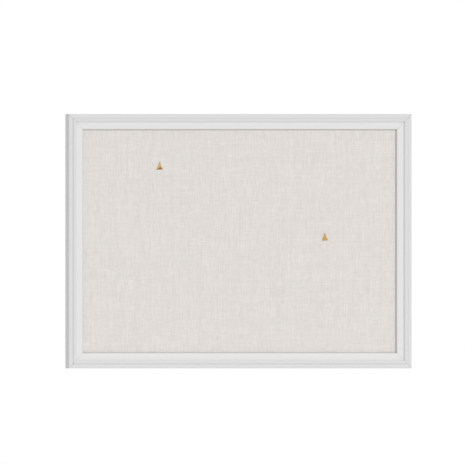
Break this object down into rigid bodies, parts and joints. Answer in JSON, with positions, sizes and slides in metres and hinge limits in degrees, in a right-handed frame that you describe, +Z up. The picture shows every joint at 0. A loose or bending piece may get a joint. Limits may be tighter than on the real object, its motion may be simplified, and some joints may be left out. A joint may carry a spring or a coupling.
{
  "type": "framed linen pin board",
  "caption": "Flat wall pin board: linen-covered panel in a white mitred moulded frame, with brass pyramid push pins on the face and turn buttons, ring hangers and bumpers behind.",
  "frame": {"origin": "middle of the board on the wall, in the plane of the bumpers' rear faces", "axes": "+X to the right seen from the front, -Y out of the linen face towards the viewer, +Y into the wall, +Z up"},
  "size_m": [0.665, 0.0255, 0.461],
  "materials": {
    "white_paint": "satin white paint on moulded wood",
    "linen": "plain-weave linen with slubs, warm grey white",
    "fibreboard": "soft fibreboard that takes pins",
    "hardboard": "smooth brown hardboard",
    "zinc_plate": "bright zinc plating",
    "nail_steel": "plain steel",
    "brass": "satin brass",
    "black_rubber": "matt black rubber"
  },
  "bodies": {
    "board": {"top_rail": "white_paint", "bottom_rail": "white_paint", "left_rail": "white_paint", "right_rail": "white_paint", "linen_cover": "linen", "pinning_core": "fibreboard", "backing_board": "hardboard", "v_nail_bottom_left_outer": "nail_steel", "v_nail_bottom_left_inner": "nail_steel", "v_nail_bottom_right_outer": "nail_steel", "v_nail_bottom_right_inner": "nail_steel", "v_nail_top_left_outer": "nail_steel", "v_nail_top_left_inner": "nail_steel", "v_nail_top_right_outer": "nail_steel", "v_nail_top_right_inner": "nail_steel", "turn_button_screw_top_left": "zinc_plate", "turn_button_screw_top_middle": "zinc_plate", "turn_button_screw_top_right": "zinc_plate", "turn_button_screw_bottom_left": "zinc_plate", "turn_button_screw_bottom_middle": "zinc_plate", "turn_button_screw_bottom_right": "zinc_plate", "turn_button_screw_left": "zinc_plate", "turn_button_screw_right": "zinc_plate", "left_hanger_strap": "zinc_plate", "right_hanger_strap": "zinc_plate", "left_hanger_screw_upper": "zinc_plate", "left_hanger_screw_lower": "zinc_plate", "right_hanger_screw_upper": "zinc_plate", "right_hanger_screw_lower": "zinc_plate", "wall_bumper_top_left": "black_rubber", "wall_bumper_top_right": "black_rubber", "wall_bumper_bottom_left": "black_rubber", "wall_bumper_bottom_right": "black_rubber"},
    "left_pin": {"left_pin_head": "brass", "left_pin_needle": "nail_steel"},
    "right_pin": {"right_pin_head": "brass", "right_pin_needle": "nail_steel"},
    "left_ring": {"left_hanger_ring": "zinc_plate"},
    "right_ring": {"right_hanger_ring": "zinc_plate"},
    "button_top_left": {"turn_button_top_left": "zinc_plate"},
    "button_top_middle": {"turn_button_top_middle": "zinc_plate"},
    "button_top_right": {"turn_button_top_right": "zinc_plate"},
    "button_bottom_left": {"turn_button_bottom_left": "zinc_plate"},
    "button_bottom_middle": {"turn_button_bottom_middle": "zinc_plate"},
    "button_bottom_right": {"turn_button_bottom_right": "zinc_plate"},
    "button_left": {"turn_button_left": "zinc_plate"},
    "button_right": {"turn_button_right": "zinc_plate"}
  },
  "joints": [
    {"name": "left_pin_pull", "type": "slide", "parent": "board", "child": "left_pin", "axis": [0, -1, 0], "range_m": [0, 0.03]},
    {"name": "right_pin_pull", "type": "slide", "parent": "board", "child": "right_pin", "axis": [0, -1, 0], "range_m": [0, 0.03]},
    {"name": "left_ring_swing", "type": "hinge", "parent": "board", "child": "left_ring", "pos_m": [-0.3205, -0.0029, 0.1355], "axis": [1, 0, 0], "range_deg": [0, 176]},
    {"name": "right_ring_swing", "type": "hinge", "parent": "board", "child": "right_ring", "pos_m": [0.3205, -0.0029, 0.1355], "axis": [1, 0, 0], "range_deg": [0, 176]},
    {"name": "button_top_left_turn", "type": "hinge", "parent": "board", "child": "button_top_left", "pos_m": [-0.2025, -0.0046, 0.2194], "axis": [0, 1, 0], "continuous": true},
    {"name": "button_top_middle_turn", "type": "hinge", "parent": "board", "child": "button_top_middle", "pos_m": [0, -0.0046, 0.2194], "axis": [0, 1, 0], "continuous": true},
    {"name": "button_top_right_turn", "type": "hinge", "parent": "board", "child": "button_top_right", "pos_m": [0.2025, -0.0046, 0.2194], "axis": [0, 1, 0], "continuous": true},
    {"name": "button_bottom_left_turn", "type": "hinge", "parent": "board", "child": "button_bottom_left", "pos_m": [-0.2025, -0.0046, -0.2194], "axis": [0, 1, 0], "continuous": true},
    {"name": "button_bottom_middle_turn", "type": "hinge", "parent": "board", "child": "button_bottom_middle", "pos_m": [0, -0.0046, -0.2194], "axis": [0, 1, 0], "continuous": true},
    {"name": "button_bottom_right_turn", "type": "hinge", "parent": "board", "child": "button_bottom_right", "pos_m": [0.2025, -0.0046, -0.2194], "axis": [0, 1, 0], "continuous": true},
    {"name": "button_left_turn", "type": "hinge", "parent": "board", "child": "button_left", "pos_m": [-0.3214, -0.0046, 0], "axis": [0, 1, 0], "continuous": true},
    {"name": "button_right_turn", "type": "hinge", "parent": "board", "child": "button_right", "pos_m": [0.3214, -0.0046, 0], "axis": [0, 1, 0], "continuous": true}
  ]
}
